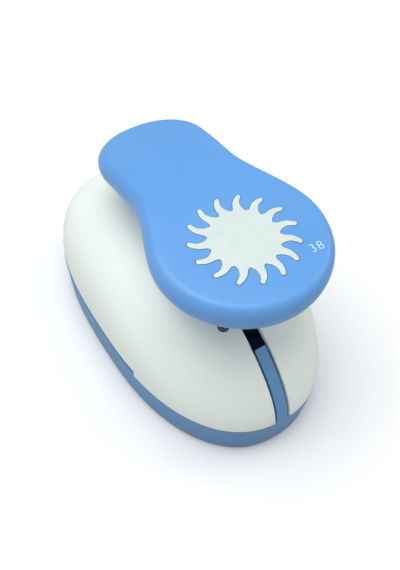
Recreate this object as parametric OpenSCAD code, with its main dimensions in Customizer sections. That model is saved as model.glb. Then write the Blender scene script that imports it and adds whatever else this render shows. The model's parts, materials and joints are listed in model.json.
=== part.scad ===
// Craft punch: an egg-shaped paper punch worked by a broad thumb lever.
// Front is -Y, +Z is up, and the origin is the middle of the face it stands on.

/* [Body] */
// Length of the body, front to rear
body_l = 117.2; // [97:0.1:141]
// Width of the body at its widest
body_w = 69; // [65:0.1:83]
// Height of the housing's crown above the table
body_h = 47.5; // [46.5:0.1:57]
// How far the widest section sits in front of the body's middle
widest_y = 3.1; // [0:0.1:8]
// Height of the base's rim above the table
rim_h = 14.5; // [13.5:0.1:17]
// How far the base's lower edge tucks in under its rim
base_tuck = 1.3; // [0:0.1:2.5]
// Wall of the base and of the housing
wall = 2; // [1.6:0.1:2.4]
// Thickness of the base's deck
deck_t = 3.5; // [3:0.1:4.5]
// Thickness of the rubber feet
foot_h = 1; // [0.6:0.1:2]
// Radius of the rubber feet
foot_r = 4.5; // [3.5:0.1:5]
// Gap between the base's rim and the raised edge of the housing, where paper goes in
throat_h = 2.5; // [2.3:0.1:3.5]
// Width of the slot that the lever's arm passes through
slot_w = 5.8; // [5.4:0.1:7]

/* [Punched shape] */
// Radius of the sun over its ray tips
sun_r = 17.1; // [14:0.1:17.9]
// Radius of the sun's disc
disc_r = 11; // [9:0.1:12]
// Number of rays
rays = 15; // [11:1:16]
// Half the width of a ray where it leaves the disc
ray_root = 1.4; // [1:0.05:1.5]
// Radius of a ray's rounded tip
ray_tip = 0.75; // [0.6:0.05:1]
// How far round a ray's tip lies from its root, clockwise, in degrees
ray_lean = 3; // [0:0.5:8]
// How far a ray bows out the other way between root and tip, in degrees
ray_bow = 2.8; // [0:0.2:4]
// Turn of the whole sun, in degrees
sun_turn = 17.2; // [0:0.1:24]
// Clearance between the punch and the plates it passes through
cut_gap = 0.08; // [0.05:0.01:0.1]

/* [Punch frame] */
// Thickness of the steel plates
plate_t = 2; // [1.5:0.1:2.2]
// Gap between the die and the guide plate
paper_gap = 1.5; // [1:0.1:1.6]
// How far the plates stay inside the body's outline
plate_margin = 6; // [5:0.1:7]
// Distance of the throat's closed end in front of the sun
throat_reach = 17.8; // [12:0.1:19]
// Distance of the punch's axis in front of the pivot
punch_reach = 28; // [27:0.1:29]
// Distance of the pivot in front of the body's rear end
pivot_back = 14.6; // [14:0.1:16]
// Height of the pivot above the table
pivot_z = 31; // [29:0.1:31.5]
// Radius of the pivot pin
pin_r = 2; // [1.5:0.1:2.5]
// Radius of the pin that presses on the punch
press_r = 3; // [2.5:0.1:3.2]
// Thickness of the head that carries the punch
head_t = 5; // [4.5:0.1:5.5]
// Radius of the guide posts
post_r = 2; // [1.6:0.1:2.2]
// Wire radius of the return springs
wire_r = 0.45; // [0.35:0.05:0.5]
// Turns of each return spring
coils = 5; // [4:1:6]

/* [Lever] */
// Radius of the lever's round front lobe
lobe_r = 28.3; // [25:0.1:31]
// Distance of the lobe's centre behind the body's front end
lobe_back = 34.1; // [32:0.1:37]
// Half the width of the lever's neck and rear lobe
neck_w = 19; // [16.5:0.1:22]
// Length of the lever from the lobe's centre to its rear end
tail_l = 65.7; // [62:0.1:67]
// Length of the rounded rear end
tail_round = 17.6; // [12:0.1:19]
// Height of the lever's top face at the lobe's centre
lever_z = 74.3; // [73:0.1:84]
// Thickness of the lever's cap at its rim
cap_h = 9; // [8:0.1:10]
// How far the top face falls for each mm towards the rear
lever_fall = 0.007; // [0:0.001:0.02]
// Distance behind the lobe's centre at which the top face starts to bend down
bend_back = 14; // [12:0.5:18]
// How far the bend has brought the top face down at the rear end
bend_drop = 9.4; // [6:0.1:10.5]
// Width of the rounding along the cap's upper edge
edge_in = 3.5; // [2:0.1:4.5]
// Height of the rounding along the cap's upper edge
edge_down = 4.6; // [3:0.1:5.5]
// Wall of the cap
cap_wall = 2; // [1.6:0.1:2.4]
// Thickness of the lever's arm
arm_w = 5; // [4:0.1:5.2]
// Thickness of the sun on the lever
emblem_t = 0.5; // [0.3:0.1:1]

/* [Hidden] */

sky_blue = [0.44, 0.67, 0.95];
base_blue = [0.36, 0.53, 0.70];
shell_white = [0.90, 0.94, 0.90];
steel = [0.72, 0.73, 0.75];
spring_steel = [0.60, 0.61, 0.63];
black_rubber = [0.08, 0.09, 0.11];
silver = [0.86, 0.89, 0.87];
grey_plastic = [0.35, 0.37, 0.40];

eps = 0.02;          // thin overlap that joins shapes or clears a face
over = 1;            // cuts run this far past a face
seat = 0.02;         // gap between faces that only just meet
run = 0.06;          // running clearance of a pin in its bore
side = 0.3;          // clearance beside parts that slide past each other
play = 0.2;          // clearance round a part that drops into its place
outline_steps = 72;  // points round an oval section
layers = 12;         // layers that the dome is built up from

// Shape of the body: an oval that is blunter at the rear, and a dome that leans back
front_l = body_l / 2 - widest_y;
rear_l = body_l / 2 + widest_y;
front_round = 2.26;
rear_round = 2.76;
front_dome = 1.77;
rear_dome = 2.71;
side_dome = 2.89;
dome_h = body_h - rim_h;

// Heights of the plates, and the places of the mechanism
die_proud = 0.5;                         // the die stands this far above the rim
die_z = rim_h + die_proud - plate_t;
gap_z = die_z + plate_t;
guide_z = gap_z + paper_gap;
guide_top = guide_z + plate_t;
pivot_y = body_l / 2 - pivot_back;
punch_y = pivot_y - punch_reach;
throat_y = punch_y - sun_r - throat_reach;
spacer_l = 8;
plate_front_y = throat_y - spacer_l;
plate_rear_y = pivot_y + 7.5;
chute_r = sun_r + 2.4;                   // bore that the cut shapes fall through
press_l = 18;                            // length of the pressing pin
press_lift = 7;                          // the pressing pin sits this far above the pivot
press_z = pivot_z + press_lift;
head_top = press_z - press_r;
head_z = head_top - head_t;
punch_lift = 0.5;                        // the punch rests this far up inside the guide plate
punch_z = guide_z + punch_lift;
coil_r = post_r + 0.65 + wire_r;
post_x = sun_r + coil_r + wire_r + 0.85;

// Half the width of the body at y, less an inset
function side_x(y, inset) =
    let (ahead = y < -widest_y, reach = ahead ? front_l : rear_l, n = ahead ? front_round : rear_round)
    body_w / 2 * pow(1 - pow(abs(y + widest_y) / reach, n), 1 / n) - inset;

function beside(y, inset) = [side_x(y, inset), y];

// Fasteners, and the places of the pieces that come in pairs
screw_r = 1.5;
screw_head_r = 2.8;
screw_head_t = 1.8;
screw_sink = screw_head_t + 0.2;
screw_hole_r = screw_r + 0.2;
screw_step = 3;                          // screw bosses start this far above the base's lower edge
boss_r = 3.4;
foot_pad = 1;                            // the widest bosses reach this far round what they hold
base_screw_l = 16;
die_screw_l = 8;
housing_screw_l = 10;
punch_screw_l = 9;
punch_screw_at = [7.5, 4];
flush = 0.05;                            // flat screw heads lie this far below the face
rivet_r = 1.75;
rivet_head_r = 3;
rivet_head_t = 1;
rivet_slope = 0.6;
clip_t = 0.8;
post_end = 1.2;                          // the guide posts stand this far out of their clips
clip_r = 4;
front_screw_at = beside(plate_front_y - 7, 10.2);
rear_screw_at = beside(pivot_y - 6, 10.4);
side_screw_at = beside(throat_y + 9, 12.3);
front_foot_at = beside(-body_l / 2 + 13.6, 10.5);
rear_foot_at = beside(body_l / 2 - 12.6, 10.3);
rivet_at = beside(throat_y - spacer_l / 2, 13);
bracket_rivet_at = [11, pivot_y + 1.5];

// Pivot bracket
slot_behind = 1;                         // the slot goes on this far behind the pivot
hub_r = 4.6;
hub_w = 8;
ear_t = 2;
ear_r = 5;
ear_x = hub_w / 2 + side;
bracket_w = 30;
bracket_l = 15;
pin_l = 2 * (ear_x + ear_t + clip_t + 1);

// Lever
lobe_y = -body_l / 2 + lobe_back;
tail_y = lobe_y + tail_l - tail_round;
neck_y = lobe_y + 33;
tail_curve = 2.16;
rim_in = 1;                              // the cap's lower edge lies this far in from its widest line
roof_t = 2.2;
flange_w = 20;
flange_t = 2;
flange_drop = 5.8;                       // top face of the cap to top face of the arm's flange
flange_front = lobe_y - 8;
flange_rear = tail_y - 7;
sun_y = lobe_y - 1.7;
bumper_at = [15.7, lobe_y - 16.3];
bumper_r = 1.8;
bumper_l = 7;
bumper_plug = 4;
plug_r = bumper_r - 0.6;
bumper_z = lever_z - cap_h;              // the bumpers hang from here
boss_end = 1;                            // pilot holes stop this far above a boss's lower end
pilot_l = 9;                             // depth of the pilot holes in the housing's posts
screw_tip = 5;                           // length of the lever's screws
lever_screw_at = [[7, flange_front + 5], [7, flange_rear - 5]];

// ---------- outlines ----------

function oval_point(a, w, f, r) =
    let (c = cos(a), s = sin(a), n = s < 0 ? front_round : rear_round, reach = s < 0 ? f : r)
    [w * sign(c) * pow(abs(c), 2 / n), -widest_y + reach * sign(s) * pow(abs(s), 2 / n)];

// Oval of the body, drawn in by a distance all round
function body_oval(inset) =
    [for (i = [0 : outline_steps - 1])
        oval_point(360 * i / outline_steps, body_w / 2 - inset, front_l - inset, rear_l - inset)];

function dome_share(t, n) = pow(1 - pow(t, n), 1 / n);

// Section of the dome at a share t of its height
function dome_oval(t, inset) =
    [for (i = [0 : outline_steps - 1])
        oval_point(360 * i / outline_steps,
                   (body_w / 2 - inset) * dome_share(t, side_dome),
                   (front_l - inset) * dome_share(t, front_dome),
                   (rear_l - inset) * dome_share(t, rear_dome))];

// Front edge of the dome in the middle plane, at height z, drawn in by a distance
function dome_front(z, inset) =
    -widest_y - (front_l - inset) * dome_share((z - rim_h) / (dome_h - inset), front_dome);

// One half of the lever's outline, front tip to rear tip, drawn in by a distance
function lever_half(inset) = concat(
    [for (a = [-90 : 9 : 0]) [(lobe_r - inset) * cos(a), lobe_y + (lobe_r - inset) * sin(a)]],
    [for (i = [1 : 8]) let (s = i / 9, k = s * s * (3 - 2 * s))
        [lobe_r - inset + (neck_w - lobe_r) * k, lobe_y + (neck_y - lobe_y) * s]],
    [[neck_w - inset, neck_y]],
    [for (a = [0 : 9 : 90]) let (c = max(cos(a), 0))
        [(neck_w - inset) * pow(c, 2 / tail_curve),
         tail_y + (tail_round - inset) * pow(sin(a), 2 / tail_curve)]]);

// Height of the lever's top face at y, from its height at the lobe's centre
function top_at(y) =
    let (back = y - lobe_y, bend = max(0, back - bend_back) / (tail_l - bend_back))
    -lever_fall * back - bend_drop * bend * bend;

// Centre line of a ray: a share s of the way from the disc to the tip
function ray_mid(s) =
    let (r = disc_r + (sun_r - ray_tip - disc_r) * s, a = ray_bow * sin(180 * s) - ray_lean * s)
    [r * cos(a), r * sin(a)];

// Direction of the centre line there, as an angle; at the root it is straight out from the disc
function ray_way(s) =
    let (p = ray_mid(s), d = ray_mid(s + 0.01) - p, out = atan2(p[1], p[0]), way = atan2(d[1], d[0]))
    out + (way - out) * min(1, s / 0.3);

// Half the width of a ray, which flares into the disc
function ray_half(s) = ray_root + (ray_tip - ray_root) * s + 0.45 * pow(max(0, 1 - 4 * s), 2);

function ray_side(s, way, grow) =
    let (a = ray_way(s), w = way * (ray_half(s) + grow))
    ray_mid(s) + w * [-sin(a), cos(a)];

function ray_cap(a, grow) =
    let (t = ray_way(1) + a)
    ray_mid(1) + (ray_tip + grow) * [cos(t), sin(t)];

function turned(p, a) = [p[0] * cos(a) - p[1] * sin(a), p[0] * sin(a) + p[1] * cos(a)];

// Outline of the sun, grown by a clearance; the rays lean clockwise seen from above
function sun_outline(grow) =
    let (steps = [0.02, 0.14, 0.34, 0.56, 0.78])
    [for (k = [0 : rays - 1], p = concat(
        [for (s = steps) ray_side(s, -1, grow)],
        [for (a = [-90 : 45 : 90]) ray_cap(a, grow)],
        [for (i = [len(steps) - 1 : -1 : 0]) ray_side(steps[i], 1, grow)],
        [turned([disc_r + grow - 0.1, 0], 180 / rays)]))
        turned(p, sun_turn + 360 * k / rays)];

// ---------- shared shapes ----------

module both_sides(at) {
    for (way = [-1, 1])
        translate([way * at[0], at[1], 0]) children();
}

// Slab of an outline between two heights
module slab(outline, z0, z1) {
    translate([0, 0, z0]) linear_extrude(z1 - z0) polygon(outline);
}

// Solid through a stack of rings that have the same number of points; the end rings are convex and level
module stack_solid(rings) {
    n = len(rings[0]);
    m = len(rings);
    sides = [for (i = [0 : m - 2], j = [0 : n - 1])
        [i * n + j, (i + 1) * n + j, (i + 1) * n + (j + 1) % n, i * n + (j + 1) % n]];
    floor_face = [for (j = [0 : n - 1]) j];
    top_face = [for (j = [n - 1 : -1 : 0]) (m - 1) * n + j];
    polyhedron([for (r = rings, p = r) p], concat(sides, [floor_face, top_face]));
}

function at_height(outline, z) = [for (p = outline) [p[0], p[1], z]];

// The dome as a solid, drawn in by a distance; it goes on straight down below the rim by skirt
module dome_solid(inset, skirt) {
    crown = 0.999;
    shares = [for (i = [0 : layers]) crown * sin(90 * i / layers)];
    rings = [for (t = shares) at_height(dome_oval(t, inset), rim_h + (dome_h - inset) * t)];
    stack_solid(concat([at_height(dome_oval(0, inset), rim_h - skirt)], rings));
}

// Outline shared by the die, the spacer and the guide plate
module plate_slab(z0, z1, y0, y1) {
    intersection() {
        slab(body_oval(plate_margin), z0, z1);
        translate([-body_w, y0, z0]) cube([2 * body_w, y1 - y0, z1 - z0]);
    }
}

// Round part or hole on an upright axis between two heights
module upright(z0, z1, r) {
    translate([0, 0, z0]) cylinder(r = r, h = z1 - z0, $fn = 32);
}

// Round part on an axis along X
module cross_bar(r, length, y, z) {
    translate([-length / 2, y, z]) rotate([0, 90, 0]) cylinder(r = r, h = length, $fn = 48);
}

// Pan-head screw with its head downwards, entering at the underside z
module screw_up(z, length) {
    upright(z - screw_head_t, z, screw_head_r);
    upright(z, z + length, screw_r);
}

// Flat clip round a shaft of radius r, open on one side
module clip_ring(r) {
    mouth = 1.6 * r;
    difference() {
        cylinder(r = clip_r, h = clip_t, $fn = 40);
        translate([0, 0, -eps]) cylinder(r = r, h = clip_t + 2 * eps, $fn = 40);
        translate([0, -mouth / 2, -eps]) cube([clip_r + over, mouth, clip_t + 2 * eps]);
    }
}

// Moves the lever's own level frame onto its sloping top face
module on_lever_top() {
    translate([0, lobe_y, lever_z]) rotate([-atan(lever_fall), 0, 0]) children();
}

// ---------- standing parts ----------

module base() {
    boss_top = rim_h - deck_t + eps;
    color(base_blue) difference() {
        union() {
            difference() {
                hull() {
                    slab(body_oval(base_tuck), foot_h, foot_h + 0.1);
                    slab(body_oval(0), rim_h - 0.1, rim_h);
                }
                slab(body_oval(base_tuck + wall), foot_h - over, rim_h - deck_t);
            }
            translate([0, punch_y, foot_h]) cylinder(r = chute_r + wall, h = boss_top - foot_h, $fn = 64);
            for (at = [front_foot_at, rear_foot_at])
                both_sides(at) upright(foot_h, boss_top, foot_r + foot_pad);
            both_sides(front_screw_at) upright(foot_h + screw_step, boss_top, boss_r + foot_pad);
            for (at = [side_screw_at, rear_screw_at])
                both_sides(at) upright(foot_h + screw_step, boss_top, boss_r);
            front_strip();
        }
        plate_slab(die_z, rim_h + over, plate_front_y - play, plate_rear_y + play);
        translate([0, punch_y, 0]) cylinder(r = chute_r, h = rim_h + over, $fn = 64);
        both_sides(front_screw_at) {
            upright(foot_h, rim_h + over, screw_hole_r);
            upright(foot_h, foot_h + screw_step + screw_head_t, screw_head_r + side);
        }
        for (at = [side_screw_at, rear_screw_at])
            both_sides(at) upright(foot_h + screw_step + boss_end, rim_h + over, screw_r);
        both_sides(rivet_at) upright(foot_h, rim_h + over, rivet_head_r + side);
    }
}

// Upright strip that fills the lower part of the housing's slot
module front_strip() {
    strip_gap = 0.8;
    strip_w = slot_w - 2 * strip_gap;
    strip_t = 3.5;
    strip_up = 21.5;
    steps = 10;
    heights = [for (i = [0 : steps]) rim_h - over + (strip_up + over) * i / steps];
    outer = [for (z = heights) [dome_front(max(z, rim_h), side), z]];
    // The inner face stops lower, so that the strip's upper end is upright
    inner_up = strip_up - 4.6;
    inner_heights = [for (i = [steps : -1 : 0]) rim_h - over + (inner_up + over) * i / steps];
    inner = [for (z = inner_heights) [dome_front(max(z, rim_h), strip_t + side), z]];
    translate([-strip_w / 2, 0, 0]) rotate([90, 0, 90]) linear_extrude(strip_w)
        polygon(concat(outer, inner));
}

module rubber_feet() {
    color(black_rubber)
        for (at = [front_foot_at, rear_foot_at])
            both_sides(at) cylinder(r = foot_r, h = foot_h, $fn = 40);
}

module base_screws() {
    color(steel) both_sides(front_screw_at) screw_up(foot_h + screw_step + screw_head_t, base_screw_l);
}

module die_plate() {
    color(steel) difference() {
        plate_slab(die_z, gap_z, plate_front_y, plate_rear_y);
        translate([0, punch_y, die_z - over]) linear_extrude(plate_t + 2 * over)
            polygon(sun_outline(cut_gap));
        for (at = [side_screw_at, rear_screw_at])
            both_sides(at) countersink(die_z, gap_z);
        both_sides(rivet_at) upright(die_z - over, gap_z + over, rivet_r);
    }
}

// Hole for a flat-head screw, its head at the upper face z1
module countersink(z0, z1) {
    upright(z0 - over, z1 + over, screw_hole_r);
    sink_t = 1;
    translate([0, 0, z1 - sink_t]) cylinder(r1 = screw_hole_r, r2 = screw_head_r, h = sink_t, $fn = 32);
    upright(z1, z1 + over, screw_head_r);
}

// Flat-head screw with its head at height z, pointing down
module flat_screw(length) {
    head_t = 0.9;
    head_r = screw_head_r - 0.15;
    translate([0, 0, -head_t]) cylinder(r1 = screw_r, r2 = head_r, h = head_t, $fn = 32);
    upright(-length, -head_t / 2, screw_r);
}

module die_screws() {
    color(steel)
        for (at = [side_screw_at, rear_screw_at])
            both_sides(at) translate([0, 0, gap_z - flush]) flat_screw(die_screw_l);
}

module throat_spacer() {
    color(steel) difference() {
        plate_slab(gap_z, guide_z, plate_front_y, throat_y);
        both_sides(rivet_at) upright(gap_z - over, guide_z + over, rivet_r);
    }
}

module guide_plate() {
    color(steel) difference() {
        plate_slab(guide_z, guide_top, plate_front_y, plate_rear_y);
        translate([0, punch_y, guide_z - over]) linear_extrude(plate_t + 2 * over)
            polygon(sun_outline(cut_gap));
        both_sides(rivet_at) upright(guide_z - over, guide_top + over, rivet_r);
        both_sides(bracket_rivet_at) upright(guide_z - over, guide_top + over, rivet_r);
        both_sides([post_x, punch_y]) upright(guide_z - over, guide_top + over, post_r);
        both_sides(rear_screw_at) mirror([0, 0, 1]) countersink(-guide_top, -guide_z);
    }
}

// Rivet from z0 up to z1 with a head above, and one below where there is room for it
module rivet(z0, z1, lower_head) {
    upright(z0, z1, rivet_r);
    translate([0, 0, z1]) cylinder(r1 = rivet_head_r, r2 = rivet_head_r - rivet_slope,
        h = rivet_head_t, $fn = 32);
    if (lower_head)
        upright(z0 - rivet_head_t, z0, rivet_head_r);
}

module frame_rivets() {
    color(steel) both_sides(rivet_at) rivet(die_z, guide_top, true);
}

module pivot_bracket() {
    foot_z = guide_top;
    color(steel) difference() {
        union() {
            translate([-bracket_w / 2, pivot_y - bracket_l / 2, foot_z]) cube([bracket_w, bracket_l, ear_t]);
            for (x = [-ear_x - ear_t, ear_x]) {
                translate([x, pivot_y - ear_r, foot_z]) cube([ear_t, 2 * ear_r, pivot_z - foot_z]);
                translate([x, pivot_y, pivot_z]) rotate([0, 90, 0]) cylinder(r = ear_r, h = ear_t, $fn = 48);
            }
        }
        cross_bar(pin_r, 4 * ear_x, pivot_y, pivot_z);
        both_sides(bracket_rivet_at) upright(foot_z - over, foot_z + ear_t + over, rivet_r);
    }
}

module bracket_rivets() {
    color(steel) both_sides(bracket_rivet_at) rivet(guide_z, guide_top + ear_t, false);
}

module pivot_pin() {
    color(steel) cross_bar(pin_r, pin_l, pivot_y, pivot_z);
}

module pin_clips() {
    out = ear_x + ear_t;
    color(spring_steel)
        for (x = [-out - clip_t, out])
            translate([x, pivot_y, pivot_z]) rotate([0, 90, 0]) clip_ring(pin_r);
}

module guide_posts() {
    color(steel) both_sides([post_x, punch_y]) upright(guide_z, head_top + clip_t + post_end, post_r);
}

module post_clips() {
    color(spring_steel) both_sides([post_x, punch_y])
        translate([0, 0, head_top + seat]) clip_ring(post_r);
}

// Return spring round a guide post, from the guide plate up to the punch head
module return_spring(x) {
    sides = 6;
    per_turn = 14;
    z0 = guide_top + seat + wire_r;
    rise = head_z - guide_top - 2 * seat - 2 * wire_r;
    rings = coils * per_turn;
    points = [for (i = [0 : rings], j = [0 : sides - 1])
        let (a = 360 * i / per_turn, b = 360 * j / sides, r = coil_r + wire_r * cos(b))
        [r * cos(a), r * sin(a), z0 + rise * i / rings + wire_r * sin(b)]];
    quads = [for (i = [0 : rings - 1], j = [0 : sides - 1])
        [i * sides + j, i * sides + (j + 1) % sides,
         (i + 1) * sides + (j + 1) % sides, (i + 1) * sides + j]];
    first = [[for (j = [sides - 1 : -1 : 0]) j]];
    last = [[for (j = [0 : sides - 1]) rings * sides + j]];
    color(spring_steel) translate([x, punch_y, 0]) polyhedron(points, concat(first, quads, last));
}

module spring_left() {
    return_spring(-post_x);
}

module spring_right() {
    return_spring(post_x);
}

module housing_screws() {
    color(steel) both_sides(rear_screw_at)
        translate([0, 0, guide_z + flush]) mirror([0, 0, 1]) flat_screw(housing_screw_l);
}

module housing() {
    color(shell_white) difference() {
        union() {
            difference() {
                dome_solid(0, over / 2);
                dome_solid(wall, over);
            }
            intersection() {
                dome_solid(wall / 4, over / 2);
                union() {
                    both_sides(front_screw_at) upright(rim_h, body_h, boss_r);
                    both_sides(rear_screw_at) upright(guide_top, body_h, boss_r);
                }
            }
        }
        translate([-slot_w / 2, -body_l, rim_h - over])
            cube([slot_w, body_l + pivot_y + slot_behind, body_h]);
        translate([-body_w, throat_y, rim_h - over]) cube([2 * body_w, body_l, over + throat_h]);
        translate([-body_w, -body_l, rim_h - over]) cube([2 * body_w, 2 * body_l, over]);
        both_sides(front_screw_at) upright(rim_h - over, rim_h + pilot_l, screw_r);
        both_sides(rear_screw_at) upright(guide_top - over, guide_top + pilot_l, screw_r);
    }
}

// ---------- parts that slide with the punch ----------

module punch() {
    color(steel) difference() {
        translate([0, punch_y, punch_z]) linear_extrude(head_z - punch_z) polygon(sun_outline(0));
        punch_screw_places() upright(head_z - punch_screw_l + head_t - screw_sink - eps,
            head_z + over, screw_r);
    }
}

module punch_screw_places() {
    for (way = [-1, 1])
        translate([punch_screw_at[0] * way, punch_y - punch_screw_at[1] * way, 0]) children();
}

module punch_head() {
    head_w = 24;
    ear_wall = 2.2;
    color(grey_plastic) difference() {
        union() {
            translate([-post_x, punch_y - head_w / 2, head_z]) cube([2 * post_x, head_w, head_t]);
            both_sides([post_x, punch_y]) upright(head_z, head_top, post_r + ear_wall);
        }
        both_sides([post_x, punch_y]) upright(head_z - over, head_top + over, post_r + run);
        punch_screw_places() {
            upright(head_z - over, head_top + over, screw_hole_r);
            upright(head_top - screw_sink, head_top + over, screw_head_r + play);
        }
    }
}

module punch_screws() {
    color(steel) punch_screw_places()
        translate([0, 0, head_top - screw_sink]) mirror([0, 0, 1]) screw_up(0, punch_screw_l);
}

// ---------- parts that swing with the lever ----------

module lever_arm() {
    under_flange = lever_z - flange_drop - flange_t;
    // Side view of the web: up from the hub to the flange, and back down over the pressing pin
    web = [
        [pivot_y + 2, pivot_z + 4],
        [flange_rear, under_flange - lever_fall * (flange_rear - lobe_y) + 1],
        [flange_front + 2, under_flange - lever_fall * (flange_front - lobe_y) + 1],
        [flange_front + 6.5, press_z + 6],
        [punch_y - 3, press_z - 1.4],
        [punch_y + 3, press_z - 1.4],
        [punch_y + 14, press_z - 2.4],
        [pivot_y - 2, pivot_z - 4]];
    color(base_blue) difference() {
        union() {
            translate([-arm_w / 2, 0, 0]) rotate([90, 0, 90]) linear_extrude(arm_w) polygon(web);
            cross_bar(hub_r, hub_w, pivot_y, pivot_z);
            on_lever_top() translate([-flange_w / 2, flange_front - lobe_y, -flange_drop - flange_t])
                cube([flange_w, flange_rear - flange_front, flange_t]);
        }
        cross_bar(pin_r + run, 2 * hub_w, pivot_y, pivot_z);
        cross_bar(press_r, 2 * hub_w, punch_y, press_z + seat);
        lever_screw_places() upright(-flange_drop - flange_t - over, over - flange_drop, screw_hole_r);
    }
}

module lever_screw_places() {
    for (at = lever_screw_at)
        on_lever_top() both_sides([at[0], at[1] - lobe_y]) children();
}

module press_pin() {
    color(steel) cross_bar(press_r, press_l, punch_y, press_z + seat);
}

// Ring of the cap: its outline drawn in by p[0], at a height p[1] from the top face
function cap_ring(p) =
    let (half = lever_half(p[0]), n = len(half))
    [for (q = concat(half, [for (i = [n - 2 : -1 : 1]) [-half[i][0], half[i][1]]]))
        [q[0], q[1], lever_z + p[1] + top_at(q[1])]];

module cap_shell() {
    outside = [for (a = [0 : 15 : 90]) [edge_in * (1 - sin(a)), -edge_down * (1 - cos(a))]];
    below = [[rim_in * 0.3, -(edge_down + cap_h) / 2], [rim_in, -cap_h], [rim_in + cap_wall, -cap_h]];
    inside = [[cap_wall + 0.3, -edge_down], [edge_in, -roof_t]];
    rings = [for (p = concat(outside, below, inside)) cap_ring(p)];
    n = len(rings[0]);
    m = len(rings);
    half = n / 2;
    walls = [for (i = [0 : m - 2], j = [0 : n - 1])
        [i * n + (j + 1) % n, (i + 1) * n + (j + 1) % n, (i + 1) * n + j, i * n + j]];
    // Each end is closed by strips from one side to the other
    strips = [for (j = [1 : half - 2]) [j, j + 1, n - j - 1, n - j]];
    roof = concat([[0, 1, n - 1]], strips, [[half - 1, half, half + 1]]);
    top = [for (f = roof) [for (i = [len(f) - 1 : -1 : 0]) f[i]]];
    ceiling = [for (f = roof) [for (v = f) v + (m - 1) * n]];
    polyhedron([for (r = rings, p = r) p], concat(walls, top, ceiling));
}

module lever_cap() {
    into_roof = 0.9;
    color(sky_blue) difference() {
        union() {
            cap_shell();
            for (at = lever_screw_at)
                on_lever_top() both_sides([at[0], at[1] - lobe_y])
                    upright(-flange_drop, top_at(at[1]) - roof_t + into_roof, boss_r);
            both_sides(bumper_at) upright(bumper_z, lever_z - roof_t + into_roof, bumper_r + foot_pad);
        }
        lever_screw_places() upright(-flange_drop - over, screw_tip - flange_drop - flange_t, screw_r);
        both_sides(bumper_at) upright(bumper_z - over, bumper_z + bumper_plug, plug_r);
    }
}

module lever_screws() {
    color(steel) lever_screw_places() screw_up(-flange_drop - flange_t, screw_tip);
}

module sun_emblem() {
    color(silver) on_lever_top()
        translate([0, sun_y - lobe_y, 0]) linear_extrude(emblem_t) polygon(sun_outline(0));
}

module stop_bumpers() {
    color(black_rubber) both_sides(bumper_at) {
        upright(bumper_z - bumper_l, bumper_z, bumper_r);
        upright(bumper_z, bumper_z + bumper_plug, plug_r);
    }
}

base();
rubber_feet();
base_screws();
die_plate();
die_screws();
throat_spacer();
guide_plate();
frame_rivets();
pivot_bracket();
bracket_rivets();
pivot_pin();
pin_clips();
guide_posts();
post_clips();
spring_left();
spring_right();
housing_screws();
housing();
punch();
punch_head();
punch_screws();
lever_arm();
press_pin();
lever_cap();
lever_screws();
sun_emblem();
stop_bumpers();
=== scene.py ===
"""Craft punch with a broad thumb lever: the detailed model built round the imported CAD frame."""
import json
from math import atan, atan2, cos, pi, radians, sin

import bmesh
import bpy
from bpy.props import FloatProperty, FloatVectorProperty, IntProperty, PointerProperty, StringProperty
from mathutils import Euler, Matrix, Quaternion, Vector

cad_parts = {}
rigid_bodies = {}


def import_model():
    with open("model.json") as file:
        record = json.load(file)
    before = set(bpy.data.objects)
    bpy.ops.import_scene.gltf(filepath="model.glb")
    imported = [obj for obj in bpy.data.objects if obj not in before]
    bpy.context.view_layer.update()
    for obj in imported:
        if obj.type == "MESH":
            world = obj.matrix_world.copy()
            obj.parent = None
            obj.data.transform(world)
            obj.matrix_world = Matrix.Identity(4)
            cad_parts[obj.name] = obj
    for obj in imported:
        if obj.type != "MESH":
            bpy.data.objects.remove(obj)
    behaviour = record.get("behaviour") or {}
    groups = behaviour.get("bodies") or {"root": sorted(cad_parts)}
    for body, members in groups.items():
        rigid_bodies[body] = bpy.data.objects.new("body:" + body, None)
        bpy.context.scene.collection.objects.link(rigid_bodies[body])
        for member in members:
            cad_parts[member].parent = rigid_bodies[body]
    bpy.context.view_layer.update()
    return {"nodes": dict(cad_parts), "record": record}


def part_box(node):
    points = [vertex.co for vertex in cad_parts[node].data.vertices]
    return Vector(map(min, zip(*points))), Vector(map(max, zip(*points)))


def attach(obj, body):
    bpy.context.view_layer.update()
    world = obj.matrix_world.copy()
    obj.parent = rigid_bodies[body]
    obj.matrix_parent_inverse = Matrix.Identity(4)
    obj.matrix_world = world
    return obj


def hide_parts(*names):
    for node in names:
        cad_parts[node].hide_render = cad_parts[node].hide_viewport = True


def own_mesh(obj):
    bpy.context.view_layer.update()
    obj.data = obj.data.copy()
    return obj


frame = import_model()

bl_info = {
    "name": "Craft punch",
    "version": (1, 0, 0),
    "blender": (4, 5, 0),
    "location": "3D View > Sidebar > Craft punch",
    "description": "Builds a lever craft punch, piece by piece",
    "category": "Add Mesh",
}

MM = 0.001

# ---------- sizes read from the frame ----------

BASE_LOW, BASE_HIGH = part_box("base")
HOUSING_LOW, HOUSING_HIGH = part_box("housing")
CAP_LOW, CAP_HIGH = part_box("lever_cap")
DIE_LOW, DIE_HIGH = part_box("die_plate")
GUIDE_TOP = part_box("guide_plate")[1].z
SPACER_LOW, SPACER_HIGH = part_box("throat_spacer")
PUNCH_LOW, PUNCH_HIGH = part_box("punch")
HINGE = [j for j in frame["record"]["behaviour"]["joints"] if j["name"] == "lever_hinge"][0]

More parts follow.
